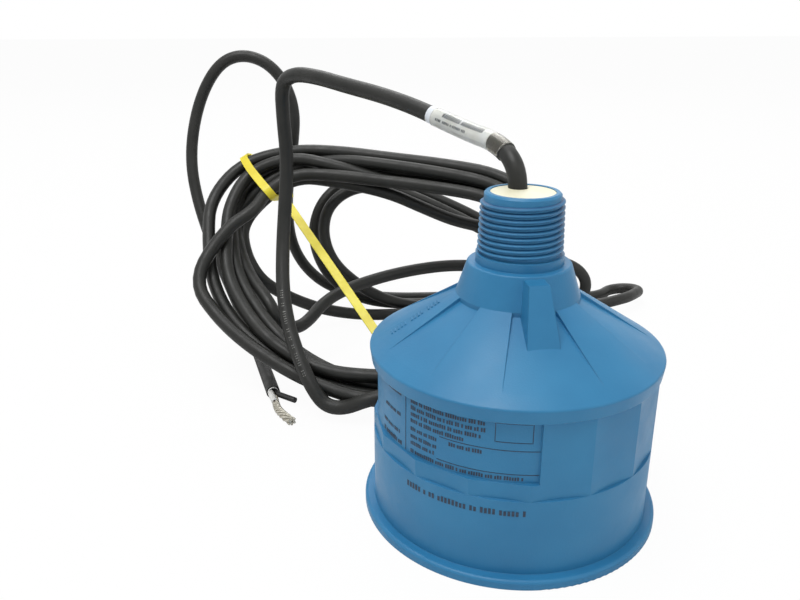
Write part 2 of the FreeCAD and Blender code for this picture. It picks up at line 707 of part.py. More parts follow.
label_inner = cable_radius + size("wrap_gap")
label_outer = label_inner + size("label_wrap")
sleeve_inner = label_outer + size("wrap_gap")
marker_corner = Vector(MARKER_START[0], MARKER_START[1], neck_top + MARKER_START[2])
first_bend = 2 * lead_points.index(marker_corner) - 1
wrap("marker_label", lead_edges[first_bend:first_bend + 3], label_inner, label_outer)
sleeve_outer = sleeve_inner + size("sleeve_wall")
wrap("marker_sleeve", lead_edges[first_bend - 1:first_bend + 3], sleeve_inner, sleeve_outer)

# Stripped end: each core starts on the jacket's cut face, in steps along, across and up from it.
jacket_end = end_edges[-1].valueAt(end_edges[-1].LastParameter)
along = end_edges[-1].tangentAt(end_edges[-1].LastParameter)
across = Vector(-along.y, along.x, 0)
for label, route, radius in (
    ("white_core", WHITE_CORE_ROUTE, "white_core_radius"),
    ("black_core", BLACK_CORE_ROUTE, "black_core_radius"),
    ("shield_pigtail", PIGTAIL_ROUTE, "pigtail_radius"),
):
    tube(label, [jacket_end + along * a + across * b + Vector(0, 0, c) for a, b, c in route], size(radius))

# Tie: a band round the hank near its upper left corner, its head, and the long straight tail.
tie = doc.addObject("PartDesign::Body", "cable_tie")
LOOP_WIDE = "coil_half_width + seat_gap"
LOOP_DEEP = "coil_half_depth + seat_gap"
band = tie.newObject("Sketcher::SketchObject", "band_outline")
band.AttachmentSupport = (origin_item(tie, "XY_Plane"), [""])
band.MapMode = "FlatFace"
for grown in ("seat_gap", "seat_gap + tie_thickness"):
    for arc in oval(size(grown)):
        band.addGeometry(arc)
padded(tie, "band", band, "tie_width", both_ways=True)
tail_outline = outline(tie, "tail_outline", "XZ_Plane", [
    ("0", "-tie_width / 2"), ("-tie_tail", "tie_tail_drift - tie_width / 2"),
    ("-tie_tail", "tie_tail_drift + tie_width / 2"), ("0", "tie_width / 2"),
], lift="-(" + LOOP_DEEP + " + tie_thickness / 2)")
tail = padded(tie, "tail", tail_outline, "tie_thickness")
tail.Reversed = True
HEAD_NEAR = "-(" + LOOP_WIDE + " + tie_thickness)"
HEAD_MIDDLE = LOOP_DEEP + " + tie_thickness"
head_outline = rectangle(
    tie, "head_outline", HEAD_NEAR + " - tie_head_length", HEAD_NEAR,
    HEAD_MIDDLE + " - tie_head_height / 2", HEAD_MIDDLE + " + tie_head_height / 2",
)
padded(tie, "head", head_outline, "tie_head_width", both_ways=True)
before_tie = Vector(*TIE_START, 0)
after_tie = Vector(*COIL_STATIONS[COIL_STATIONS.index(TIE_START) + 1], 0)
upright = Vector(0, 0, 1)
outward = (after_tie - before_tie).normalize().cross(upright)
tie_turn = FreeCAD.Rotation(outward, upright, outward.cross(upright), "XYZ")
tie.Placement = coil_placement().multiply(FreeCAD.Placement((before_tie + after_tie) / 2, tie_turn))

doc.recompute()
PIECE_TYPES = ("PartDesign::Body", "Part::Feature", "Part::Cylinder")
parts = [item for item in doc.Objects if item.TypeId in PIECE_TYPES]
for item in doc.Objects:
    if "Invalid" in item.State or "Error" in item.State:
        raise ValueError(f"{item.Label} failed: {item.State}")
for item in parts:
    if item.Shape.isNull() or not item.Shape.isValid() or not item.Shape.Solids:
        raise ValueError(f"{item.Label} has no valid solid")
os.makedirs("parts", exist_ok=True)
for item in parts:
    item.Shape.exportStep(f"parts/{item.Label}.step")
print(len(parts), "nodes written")
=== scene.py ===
import json
import math

import bmesh
import bpy
from mathutils import Matrix, Vector


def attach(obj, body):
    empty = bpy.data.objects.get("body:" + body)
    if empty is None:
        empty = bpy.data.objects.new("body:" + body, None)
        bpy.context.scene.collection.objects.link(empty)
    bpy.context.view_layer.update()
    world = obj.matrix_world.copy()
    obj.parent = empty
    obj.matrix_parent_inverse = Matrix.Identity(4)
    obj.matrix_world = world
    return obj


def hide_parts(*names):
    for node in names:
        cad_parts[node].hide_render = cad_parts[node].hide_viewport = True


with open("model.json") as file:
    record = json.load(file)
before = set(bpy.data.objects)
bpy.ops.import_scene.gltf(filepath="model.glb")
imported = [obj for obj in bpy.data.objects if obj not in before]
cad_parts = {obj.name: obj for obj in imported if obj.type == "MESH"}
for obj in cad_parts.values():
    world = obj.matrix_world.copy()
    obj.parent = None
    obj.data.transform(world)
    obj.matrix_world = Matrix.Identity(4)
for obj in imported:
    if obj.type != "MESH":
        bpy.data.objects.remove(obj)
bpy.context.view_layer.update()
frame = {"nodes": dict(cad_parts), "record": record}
nodes = frame["nodes"]
MM = 0.001


# The camera stands where the photograph was taken from.

def camera():
    right = Vector((0.99185, -0.12745, 0.0))
    down = Vector((-0.04466, -0.34722, -0.9367))
    ahead = Vector((0.11938, 0.92905, -0.3501))
    place = Matrix((right, -down, -ahead)).transposed().to_4x4()
    place.translation = Vector((-81.484, -275.085, 194.6)) * MM
    data = bpy.data.cameras.new("camera")
    data.sensor_width = 36.0
    data.lens = 34.80
    data.clip_start = 0.01
    data.clip_end = 50.0
    eye = bpy.data.objects.new("camera", data)
    eye.matrix_world = place
    bpy.context.collection.objects.link(eye)
    bpy.context.scene.camera = eye


# Cable: one line from the neck to the bare end. All points are in millimetres.

CABLE_RADIUS = 3.7
LEAD = [
    (0, 7, 122), (0.4, 7, 133), (-1.5, 11.5, 142.3), (-5.3, 25, 146.5), (-11, 40, 147.5),
    (-19, 55, 150.3), (-31, 69, 155.3), (-44, 84, 159), (-59, 99, 162), (-72, 113, 165),
    (-83, 127, 165.5), (-89.5, 137, 160), (-89.5, 139.5, 142), (-88.5, 139, 122), (-90.5, 136, 100),
    (-93, 128, 77), (-94, 115, 58), (-92, 102, 42), (-86.5, 88, 27), (-80.5, 78, 15.5), (-74.5, 73.5, 8),
    (-65, 70.5, 7.5), (-53, 66, 14.5),
]
COIL_STATIONS = [
    (10, -68), (37, -65), (62, -54), (81, -36), (91, -10), (92, 18), (84, 44), (63, 60), (31, 66),
    (-2, 70), (-32, 73), (-59, 73), (-80, 59), (-93, 40), (-93, 18), (-84, -6), (-69, -28), (-48, -48),
    (-20, -63),
]
COIL_CENTRE = Vector((-44, 131.7, 57.5))
COIL_LEAN = math.radians(48)
COIL_YAW = math.radians(-16.5)
LAST_TIED_STATION = 4 * len(COIL_STATIONS) + 16
# Where each turn lies in the hank: station, then cable diameters outwards and towards the front.
TURNS = [
    [(0, 0.2, 1.1), (3, 0.7, 1.2), (5, 0.95, 0.6), (7, 1.2, 0.5), (9, 1.35, 0.1), (11, 1.4, 0.3),
     (12, 2.4, 0.3), (13, 1.85, 0.2), (14, 1.05, 0.1), (15, 1.25, 0.0), (16, 1.15, 0.0),
     (17, 0.65, 0.0), (18, 0.4, -0.2)],
    [(0, 0.5, -0.4), (5, 0.7, -0.45), (9, 0.55, -0.6), (11, 0.75, -0.6), (12, 1.15, -0.5),
     (13, 0.0, -0.55), (14, -0.65, -0.6), (15, -0.7, -0.4), (16, -0.85, -0.3), (17, -0.75, -0.4),
     (18, -0.7, -0.5)],
    [(0, -0.45, -0.6), (5, -0.35, -0.55), (9, -0.4, -0.6), (10, -0.3, 0.45), (11, 0.35, 0.75),
     (12, 1.05, 0.5), (13, -0.1, 0.45), (14, -0.5, 0.4), (15, -0.05, 0.5), (16, 0.0, 0.5),
     (17, 0.05, 0.55), (18, -0.2, 0.5)],
    [(0, -0.8, 0.35), (5, -0.85, 0.4), (9, -1.1, 0.3), (11, -1.2, 0.45), (12, -1.7, 0.6),
     (13, -2.75, 1.1), (14, -0.8, 1.45), (15, 2.5, 1.1), (16, 1.85, 0.6), (17, 1.15, 0.75),
     (18, 0.9, 0.7)],
    [(0, 1.1, 0.4), (3, 0.3, 0.3), (5, 0.05, 0.55), (9, 0.4, 0.45), (10, 0.65, 0.15), (11, 0.1, -0.2),
     (12, -0.1, -0.5), (13, 0.1, -1.45), (14, -0.9, -1.55), (15, -1.45, -1.0), (16, -1.95, -0.8)],
]
INNER_TURN = [
    (-99.4, 134.5, 33.3), (-92.6, 135, 26), (-83.5, 142.5, 24), (-70, 166, 31), (-50, 182, 34),
    (-22, 191, 38), (9, 193, 41), (34, 190, 40), (50, 186, 39.5), (64, 181, 40.5), (73.5, 177, 48.5),
    (73.5, 174, 60), (63, 173, 68), (41, 175, 68), (13, 178, 73), (-8, 180, 82), (-30, 183, 92),
]
LAST_ARC = [(10, -1.0, -0.7), (11, -0.7, -0.65), (12, -0.9, -1.0), (13, -0.4, -2.2), (14, -1.2, -2.3)]
BACK_TURNS = [
    (-110, 172, 45), (-100.5, 180, 33.4), (-87, 188, 22.5), (-68, 198, 11), (-40, 204, 4), (-8, 205, 4),
    (25, 203, 4), (54, 200, 4), (77, 196, 6), (93.5, 190.5, 10), (101.5, 187.5, 18.5), (101.5, 187, 29.5),
    (93, 187.5, 38.5), (76, 191, 43.5), (48, 199, 54), (24, 207, 66), (-2, 216, 78), (-26, 222, 87),
    (-44, 224, 87), (-57, 223, 82), (-66, 220, 73), (-69, 215, 61), (-67, 211, 49), (-61, 208, 38),
    (-50, 208, 27), (-36, 210, 16), (-16, 213, 7), (12, 214, 4), (42, 212, 4), (66, 209, 6),
    (84, 205.5, 13), (92.5, 202.5, 24), (91, 202, 36), (81, 203, 45), (64, 206.5, 51.5), (44, 214, 60),
    (22, 222, 71), (-3, 231, 81), (-29, 237, 88), (-47, 238, 89), (-60, 237, 83), (-70, 233, 73),
    (-75, 228, 59), (-74, 223, 45), (-68, 219, 31), (-57, 218, 19), (-41, 220, 9), (-14, 222, 4),
    (20, 223, 4), (55, 222, 4), (78, 214, 4), (94, 203, 5), (106, 195.5, 7),
]
END_RUN = [
    (118, 193.5, 9), (129.5, 196.5, 10), (139, 202, 9.5), (146.8, 209.4, 9), (153.2, 216.6, 8),
    (152.5, 226.2, 6.5), (145.4, 232.4, 5), (135.8, 231.7, 4), (129.6, 224.5, 4), (119, 220, 4),
    (105, 221.5, 4), (89, 227.5, 4), (70, 234, 4), (44, 233, 4), (10, 233, 4), (-22, 236, 4),
    (-48, 238, 7), (-68, 239, 15), (-82, 241, 28), (-90, 241, 45), (-92, 241, 64), (-91, 240, 83),
    (-88, 241, 100), (-85.5, 241, 116), (-84, 242, 131), (-86.5, 243, 145), (-93, 245, 157),
    (-103, 247, 165.5), (-116, 250, 168.5), (-128, 251, 164.5), (-138, 251, 153), (-146, 249, 136),
    (-151, 245, 116), (-152, 239, 98), (-149, 231, 80), (-143, 220, 61), (-135, 208, 42), (-127, 197, 24),
    (-119, 181, 10), (-112, 156, 4), (-107, 129, 4), (-101.5, 100, 4),
]


def hank_axes():
    """The hank's own right, upward and forward directions."""
    right = Vector((math.cos(COIL_YAW), math.sin(COIL_YAW), 0))
    back = Vector((-math.sin(COIL_YAW), math.cos(COIL_YAW), 0))
    upward = math.sin(COIL_LEAN) * back + math.cos(COIL_LEAN) * Vector((0, 0, 1))
    return right, upward, right.cross(upward)


def hank_point(station, outwards, forwards):
    """A place in the hank, off its middle line by so many cable diameters."""
    right, upward, forward = hank_axes()
    count = len(COIL_STATIONS)
    before = Vector(COIL_STATIONS[(station - 1) % count])
    here = Vector(COIL_STATIONS[station % count])
    after = Vector(COIL_STATIONS[(station + 1) % count])
    along = (after - before).normalized()
    flat = here + Vector((along.y, -along.x)) * outwards * 2 * CABLE_RADIUS
    return COIL_CENTRE + right * flat.x + upward * flat.y + forward * forwards * 2 * CABLE_RADIUS


def hank_turns(first, last):
    """The tied turns, which change places slowly as they go round."""
    count = len(COIL_STATIONS)
    anchors = [(turn * count + station, Vector((outwards, forwards)))
               for turn, places in enumerate(TURNS) for station, outwards, forwards in places]
    points = []
    for station in range(first, last + 1):
        later = next(i for i, (place, offset) in enumerate(anchors) if place >= station)
        earlier = max(later - 1, 0)
        span = max(anchors[later][0] - anchors[earlier][0], 1)
        share = (station - anchors[earlier][0]) / span
        offset = anchors[earlier][1].lerp(anchors[later][1], share)
        points.append(hank_point(station, offset.x, offset.y))
    return points


def cable_route():
    """The whole route: the lead, the tied turns, the inner turn and its arc, the back turns and the end."""
    lead = [Vector(point) for point in LEAD]
    turns = hank_turns(1, LAST_TIED_STATION)
    inner_turn = [Vector(point) for point in INNER_TURN]
    last_arc = [hank_point(*place) for place in LAST_ARC]
    loose_run = [Vector(point) for point in BACK_TURNS + END_RUN]
    return lead + turns + inner_turn + last_arc + loose_run


def cord_line(name, route, radius):
    """A smooth line along a route; radius 0 leaves the bare line. Each knot carries the line's radius."""
    data = bpy.data.curves.new(name, "CURVE")
    data.dimensions = "3D"
    data.bevel_depth = 1.0 if radius else 0.0
    data.bevel_resolution = 5
    data.resolution_u = 6
    data.use_fill_caps = True
    spline = data.splines.new("NURBS")
    spline.points.add(len(route) - 1)
    for knot, point in zip(spline.points, route):
        knot.co = (*(point * MM), 1.0)
        knot.radius = radius * MM
    spline.order_u = 3
    spline.use_endpoint_u = True
    piece = bpy.data.objects.new(name, data)
    bpy.context.collection.objects.link(piece)
    return piece


def line_points(piece):
    """The points along a bare line, in millimetres."""
    mesh = bpy.data.meshes.new_from_object(piece)
    points = [vertex.co / MM for vertex in mesh.vertices]
    bpy.data.meshes.remove(mesh)
    return points


camera()
route = cable_route()
bare_line = cord_line("cable_middle", route, 0)
cable_points = line_points(bare_line)
bpy.data.objects.remove(bare_line)
cable = cord_line("cable", route, CABLE_RADIUS)
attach(cable, "root")
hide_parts("cable_lead", "cable_coil", "cable_inner_turn", "cable_back_turns", "cable_end_run")


# Finishes. Patterns are counted to the metre, and depths and roundings are in millimetres.

# The share of a pattern's range over which shade and gloss change.
SHADE_SPAN = (0.32, 0.68)
GLOSS_SPAN = (0.3, 0.7)
RUBS_A_PATCH = 3


def surface_of(material):
    return material.node_tree.nodes["Principled BSDF"]


def new_finish(name, colour, roughness, metallic=0.0):
    """A new material, in one even colour and gloss."""
    material = bpy.data.materials.new(name)
    material.use_nodes = True
    surface = surface_of(material)
    surface.inputs["Base Color"].default_value = (*colour, 1)
    surface.inputs["Roughness"].default_value = roughness
    surface.inputs["Metallic"].default_value = metallic
    return material


def cloudy(material, scale, detail, stretch=(1, 1, 1)):
    """An uneven pattern fixed to the piece."""
    tree = material.node_tree
    place = tree.nodes.new("ShaderNodeTexCoord")
    stretched = tree.nodes.new("ShaderNodeMapping")
    stretched.inputs["Scale"].default_value = stretch
    pattern = tree.nodes.new("ShaderNodeTexNoise")
    pattern.inputs["Scale"].default_value = scale
    pattern.inputs["Detail"].default_value = detail
    tree.links.new(place.outputs["Object"], stretched.inputs["Vector"])
    tree.links.new(stretched.outputs["Vector"], pattern.inputs["Vector"])
    return pattern.outputs["Fac"]


def mottled(material, dark, light, scale, stretch=(1, 1, 1)):
    """Colour that drifts between two shades."""
    tree = material.node_tree
    shades = tree.nodes.new("ShaderNodeValToRGB")
    for end, position, colour in zip(shades.color_ramp.elements, SHADE_SPAN, (dark, light)):
        end.position = position
        end.color = (*colour, 1)
    tree.links.new(cloudy(material, scale, detail=5, stretch=stretch), shades.inputs["Fac"])
    tree.links.new(shades.outputs["Color"], surface_of(material).inputs["Base Color"])


def rubbed(material, smooth, rough, scale, stretch=(1, 1, 1)):
    """Gloss that differs from patch to patch."""
    tree = material.node_tree
    span = tree.nodes.new("ShaderNodeMapRange")
    span.inputs["From Min"].default_value = GLOSS_SPAN[0]
    span.inputs["From Max"].default_value = GLOSS_SPAN[1]
    span.inputs["To Min"].default_value = smooth
    span.inputs["To Max"].default_value = rough
    tree.links.new(cloudy(material, scale, detail=3, stretch=stretch), span.inputs["Value"])
    tree.links.new(span.outputs["Result"], surface_of(material).inputs["Roughness"])


def grained(material, scale, depth, rounding=0.0, stretch=(1, 1, 1)):
    """A fine surface texture; rounding softens the edges of the moulding."""
    tree = material.node_tree
    bump = tree.nodes.new("ShaderNodeBump")
    bump.inputs["Distance"].default_value = depth * MM
    tree.links.new(cloudy(material, scale, detail=3, stretch=stretch), bump.inputs["Height"])
    if rounding:
        soft_edge = tree.nodes.new("ShaderNodeBevel")
        soft_edge.samples = 6
        soft_edge.inputs["Radius"].default_value = rounding * MM
        tree.links.new(soft_edge.outputs["Normal"], bump.inputs["Normal"])
    tree.links.new(bump.outputs["Normal"], surface_of(material).inputs["Normal"])


def plain_finish(name, dark, light, patch, smooth, rough, grain, depth,
                 metallic=0.0, rounding=0.0, stretch=(1, 1, 1)):
    """A finish that drifts in shade and gloss and has a fine grain."""
    material = new_finish(name, light, rough, metallic)
    mottled(material, dark, light, patch, stretch)
    rubbed(material, smooth, rough, patch * RUBS_A_PATCH, stretch)
    grained(material, grain, depth, rounding, stretch)
    return material


def painted_shade_inwards(material, painted_shade_colour, proud, near, far):
    """Painted shade: colour that changes with the distance from the object's axis, darker on sunken parts
    than on proud ones, as shade falls in hollows.
    """
    tree = material.node_tree
    place = tree.nodes.new("ShaderNodeTexCoord")
    flat = tree.nodes.new("ShaderNodeVectorMath")
    flat.operation = "MULTIPLY"
    flat.inputs[1].default_value = (1, 1, 0)
    distance = tree.nodes.new("ShaderNodeVectorMath")
    distance.operation = "LENGTH"
    span = tree.nodes.new("ShaderNodeMapRange")
    span.inputs["From Min"].default_value = near * MM
    span.inputs["From Max"].default_value = far * MM
    shades = tree.nodes.new("ShaderNodeValToRGB")
    shades.color_ramp.elements[0].color = (*painted_shade_colour, 1)
    shades.color_ramp.elements[1].color = (*proud, 1)
    tree.links.new(place.outputs["Object"], flat.inputs[0])
    tree.links.new(flat.outputs["Vector"], distance.inputs[0])
    tree.links.new(distance.outputs["Value"], span.inputs["Value"])
    tree.links.new(span.outputs["Result"], shades.inputs["Fac"])
    tree.links.new(shades.outputs["Color"], surface_of(material).inputs["Base Color"])


blue_moulding = plain_finish(
    "blue_moulding", dark=(0.027, 0.186, 0.376), light=(0.035, 0.222, 0.428),
    patch=28, smooth=0.36, rough=0.48, grain=1500, depth=0.05, rounding=0.4)
surface_of(blue_moulding).inputs["Specular IOR Level"].default_value = 0.35
thread_blue_painted_shade = new_finish("thread_blue_painted_shade", (0.035, 0.222, 0.428), roughness=0.52)
rubbed(thread_blue_painted_shade, smooth=0.40, rough=0.52, scale=84)
grained(thread_blue_painted_shade, scale=1500, depth=0.05)
# Painted shade on the thread: the roots nearer the axis are painted darker, where the grooves lie in shade.
painted_shade_inwards(thread_blue_painted_shade, painted_shade_colour=(0.008, 0.062, 0.165), proud=(0.032, 0.205, 0.405), near=14.5, far=16.3)
cable_jacket = plain_finish(
    "cable_jacket", dark=(0.0105, 0.0112, 0.0098), light=(0.0190, 0.0192, 0.0170),
    patch=60, smooth=0.36, rough=0.52, grain=900, depth=0.06)
surface_of(cable_jacket).inputs["Specular IOR Level"].default_value = 0.32
cream_resin = plain_finish(
    "cream_resin", dark=(0.80, 0.77, 0.56), light=(0.87, 0.85, 0.68),
    patch=90, smooth=0.42, rough=0.60, grain=600, depth=0.05)
label_film = plain_finish(
    "label_film", dark=(0.74, 0.78, 0.84), light=(0.84, 0.87, 0.91),
    patch=120, smooth=0.26, rough=0.36, grain=500, depth=0.03)
yellow_nylon = plain_finish(
    "yellow_nylon", dark=(0.80, 0.66, 0.030), light=(0.90, 0.79, 0.055),
    patch=80, smooth=0.34, rough=0.46, grain=1200, depth=0.04)
white_insulation = plain_finish(
    "white_insulation", dark=(0.76, 0.76, 0.74), light=(0.88, 0.88, 0.86),
    patch=150, smooth=0.38, rough=0.50, grain=1200, depth=0.03)
black_insulation = plain_finish(
    "black_insulation", dark=(0.012, 0.012, 0.012), light=(0.025, 0.025, 0.026),
    patch=150, smooth=0.38, rough=0.52, grain=1200, depth=0.03)
tinned_braid = plain_finish(
    "tinned_braid", dark=(0.40, 0.38, 0.31), light=(0.64, 0.61, 0.53),
    patch=700, smooth=0.36, rough=0.54, grain=2500, depth=0.08, metallic=0.4)
wire_end = plain_finish(
    "wire_end", dark=(0.06, 0.045, 0.035), light=(0.16, 0.11, 0.08),
    patch=2500, smooth=0.34, rough=0.50, grain=3500, depth=0.08, metallic=0.8)
black_print = plain_finish(
    "black_print", dark=(0.014, 0.030, 0.058), light=(0.028, 0.052, 0.092),
    patch=700, smooth=0.50, rough=0.66, grain=2000, depth=0.01)
pale_print = plain_finish(
    "pale_print", dark=(0.20, 0.20, 0.19), light=(0.36, 0.36, 0.34),
    patch=900, smooth=0.50, rough=0.66, grain=2000, depth=0.01)
matching_layer = plain_finish(
    "matching_layer", dark=(0.48, 0.43, 0.34), light=(0.58, 0.53, 0.43),
    patch=200, smooth=0.50, rough=0.70, grain=900, depth=0.08)
aluminium = plain_finish(
    "aluminium", dark=(0.66, 0.67, 0.69), light=(0.78, 0.79, 0.81),
    patch=60, smooth=0.26, rough=0.40, grain=1200, depth=0.03, metallic=1.0, stretch=(1, 1, 9))
piezo_ceramic = plain_finish(
    "piezo_ceramic", dark=(0.55, 0.51, 0.44), light=(0.66, 0.62, 0.54),
    patch=160, smooth=0.40, rough=0.60, grain=900, depth=0.04)
electrode_brass = plain_finish(
    "electrode_brass", dark=(0.66, 0.48, 0.20), light=(0.78, 0.61, 0.29),
    patch=160, smooth=0.24, rough=0.38, grain=1100, depth=0.02, metallic=1.0)
steel = plain_finish(
    "steel", dark=(0.50, 0.51, 0.52), light=(0.63, 0.64, 0.65),
    patch=90, smooth=0.26, rough=0.42, grain=1300, depth=0.03, metallic=1.0, stretch=(1, 1, 9))
damping_foam = plain_finish(
    "damping_foam", dark=(0.06, 0.06, 0.065), light=(0.13, 0.13, 0.14),
    patch=400, smooth=0.78, rough=0.95, grain=1400, depth=0.35)
sensor_bead = plain_finish(
    "sensor_bead", dark=(0.07, 0.045, 0.03), light=(0.12, 0.08, 0.055),
    patch=300, smooth=0.24, rough=0.36, grain=900, depth=0.02)
clear_sleeve = plain_finish(
    "clear_sleeve", dark=(0.80, 0.77, 0.66), light=(0.92, 0.90, 0.82),
    patch=200, smooth=0.10, rough=0.22, grain=400, depth=0.05)
surface_of(clear_sleeve).inputs["Transmission Weight"].default_value = 1.0
surface_of(clear_sleeve).inputs["IOR"].default_value = 1.35

SLOT_FINISHES = {
    "blue_moulding": blue_moulding,
    "cream_resin": cream_resin,
    "matching_layer": matching_layer,
    "aluminium": aluminium,
    "piezo_ceramic": piezo_ceramic,
    "electrode_brass": electrode_brass,
    "steel": steel,
    "white_insulation": white_insulation,
    "black_insulation": black_insulation,
    "damping_foam": damping_foam,
    "sensor_bead": sensor_bead,
    "cable_jacket": cable_jacket,
    "label_film": label_film,
    "clear_sleeve": clear_sleeve,
    "yellow_nylon": yellow_nylon,
    "tinned_braid": tinned_braid,
}
for subpart in frame["record"]["subparts"]:
    mesh = nodes[subpart["node"]].data
    mesh.materials.clear()
    mesh.materials.append(SLOT_FINISHES[subpart["material_slot"]])
cable.data.materials.append(cable_jacket)


# Shared ways of making a piece.

def piece_from(bm, name, material, smooth=True):
    """Turn a finished shape into a piece of the object; the shape is in millimetres."""
    bmesh.ops.scale(bm, vec=(MM, MM, MM), verts=bm.verts)
    for face in bm.faces:
        face.smooth = smooth
    mesh = bpy.data.meshes.new(name)
    bm.to_mesh(mesh)
    bm.free()
    mesh.materials.append(material)
    piece = bpy.data.objects.new(name, mesh)
    bpy.context.collection.objects.link(piece)
    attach(piece, "root")
    return piece


# How much of a round surface one flat face of a stroke covers: degrees times millimetres of radius.
STROKE_FACE = 60
MERGE_WITHIN = 0.001


def stroke(bm, centre, axis, outward, radius, length, sweep):
    """A small plate that lies on a round surface: so long along the axis and so wide around it."""
    start = Matrix.Rotation(-sweep / 2, 3, axis) @ outward
    ends = [bm.verts.new(centre + start * radius + axis * along) for along in (-length / 2, length / 2)]
    edge = bm.edges.new(ends)
    steps = max(1, round(math.degrees(sweep) * radius / STROKE_FACE))
    bmesh.ops.spin(bm, geom=ends + [edge], cent=centre, axis=axis, angle=sweep, steps=steps)


def add_line(bm, line):
    """Add the shape of a thick line, in metres, and take the line away."""
    mesh = bpy.data.meshes.new_from_object(line)
    bpy.data.objects.remove(line)
    bm.from_mesh(mesh)
    bpy.data.meshes.remove(mesh)


def in_millimetres(bm):
    bmesh.ops.scale(bm, vec=(1 / MM, 1 / MM, 1 / MM), verts=bm.verts)


def thickened(bm, wall):
    """Give an open shape a wall."""
    bmesh.ops.remove_doubles(bm, verts=bm.verts, dist=MERGE_WITHIN)
    bmesh.ops.recalc_face_normals(bm, faces=bm.faces)
    bmesh.ops.solidify(bm, geom=bm.faces, thickness=wall)
    bmesh.ops.recalc_face_normals(bm, faces=bm.faces)


# Thread on the neck: one ridge wound up the tapered root.

THREAD_PITCH = 2.209
THREAD_FOOT = 109.0
THREAD_TURNS = 9.25
STEPS_A_TURN = 48
RUN_OUT_TURNS = 0.25
ROOT_RADIUS = 14.7
TAPER_A_SIDE = 1 / 32
# Radius and height of each corner across the ridge.
RIDGE = [
    (14.75, -1.0), (15.0, -0.88), (16.3, -0.34), (16.45, -0.2),
    (16.45, 0.2), (16.3, 0.34), (15.0, 0.88), (14.75, 1.0),
]


def neck_thread():
    """The ridge, which runs out into the root at both ends and tapers with it."""
    bm = bmesh.new()
    corners = [bm.verts.new((radius, 0, THREAD_FOOT + height)) for radius, height in RIDGE]
    edges = [bm.edges.new(pair) for pair in zip(corners, corners[1:])]
    steps = round(THREAD_TURNS * STEPS_A_TURN)
    bmesh.ops.spin(bm, geom=corners + edges, cent=(0, 0, 0), axis=(0, 0, 1), angle=THREAD_TURNS * math.tau,
                   steps=steps, dvec=(0, 0, THREAD_PITCH / STEPS_A_TURN))
    for vertex in bm.verts:
        around = math.atan2(vertex.co.y, vertex.co.x) / math.tau
        turn = around + round((vertex.co.z - THREAD_FOOT) / THREAD_PITCH - around)
        run_out = min(1.0, turn / RUN_OUT_TURNS, (THREAD_TURNS - turn) / RUN_OUT_TURNS)
        radius = Vector((vertex.co.x, vertex.co.y)).length
        proud = (radius - ROOT_RADIUS) * max(run_out, 0.0)
        new_radius = ROOT_RADIUS + proud - (vertex.co.z - THREAD_FOOT) * TAPER_A_SIDE
        vertex.co.x *= new_radius / radius
        vertex.co.y *= new_radius / radius
    bmesh.ops.recalc_face_normals(bm, faces=bm.faces)
    return piece_from(bm, "neck_thread", thread_blue_painted_shade)


neck_thread()


# Print on the drum: rows of plain strokes, and ruled lines.

PANEL_RADIUS = 54.78
DRUM_RADIUS = 56.48
UPRIGHT = Vector((0, 0, 1))
# Height, first and last angle, and stroke height of each row.
PANEL_ROWS = [
    (63.4, -147.2, -114.5, 1.6), (60.8, -147.2, -114.8, 1.6), (58.2, -147.2, -116.5, 1.6),
    (55.6, -147.2, -123.0, 1.6), (52.2, -147.2, -134.0, 1.5), (52.2, -129.0, -115.0, 1.5),
    (49.2, -147.2, -134.0, 1.5), (46.4, -147.2, -134.5, 1.5), (43.0, -147.2, -100.0, 1.5),
    (63.6, -163.0, -152.8, 1.4), (55.0, -166.0, -153.2, 1.4), (47.6, -168.0, -154.0, 1.4),
    (43.4, -168.0, -152.6, 1.8),
]
PANEL_STROKE = 0.66
PANEL_GAP = 0.26
LOW_ROW = (29.9, -147.0, -98.4, 2.3)
LOW_STROKE = 0.95
LOW_GAP = 0.5
# Strokes in each group, how much wider the gap between groups is, and each stroke's share of full height.
GROUPS = [5, 3, 6, 2, 4, 7, 3]
GROUP_GAP = 3.0
RISES = [1.0, 0.8, 0.9, 1.0, 0.8, 0.95, 0.85, 1.0, 0.9]
INK = 0.05
# Low and high edge, first and last angle of each ruled line.
RULES = [
    (53.8, 54.05, -133.0, -94.8), (44.5, 44.75, -134.0, -94.8), (41.8, 64.9, -150.3, -150.05),
    (41.8, 64.9, -94.5, -94.3), (57.0, 57.25, -111.2, -98.3), (64.2, 64.45, -111.2, -98.3),
    (57.0, 64.45, -111.6, -111.35), (57.0, 64.45, -98.15, -97.9),
]


def print_row(bm, radius, height, first, last, tall, wide, gap):
    """A row of strokes in groups, from one angle to another; the strokes differ in height."""
    angle = math.radians(first)
    sweep = wide / radius
    count = 0
    while angle + sweep < math.radians(last):
        middle = angle + sweep / 2
        outward = Vector((math.cos(middle), math.sin(middle), 0))
        rise = tall * RISES[(count * 2 + round(height)) % len(RISES)]
        stroke(bm, Vector((0, 0, height + (rise - tall) / 2)), UPRIGHT, outward, radius, rise, sweep)
        count += 1
        group = GROUPS[(count + round(height)) % len(GROUPS)]
        angle += sweep + gap / radius * (GROUP_GAP if count % group == 0 else 1.0)


def drum_print():
    bm = bmesh.new()
    for height, first, last, tall in PANEL_ROWS:
        print_row(bm, PANEL_RADIUS, height, first, last, tall, PANEL_STROKE, PANEL_GAP)
    print_row(bm, DRUM_RADIUS, *LOW_ROW, LOW_STROKE, LOW_GAP)
    for low, high, first, last in RULES:
        sweep = math.radians(last - first)
        middle = math.radians(first + last) / 2
        outward = Vector((math.cos(middle), math.sin(middle), 0))
        stroke(bm, Vector((0, 0, (low + high) / 2)), UPRIGHT, outward, PANEL_RADIUS, high - low, sweep)
    thickened(bm, INK)
    return piece_from(bm, "drum_print", black_print, smooth=False)


drum_print()


# Raised row of plain bars on the left of the cone.

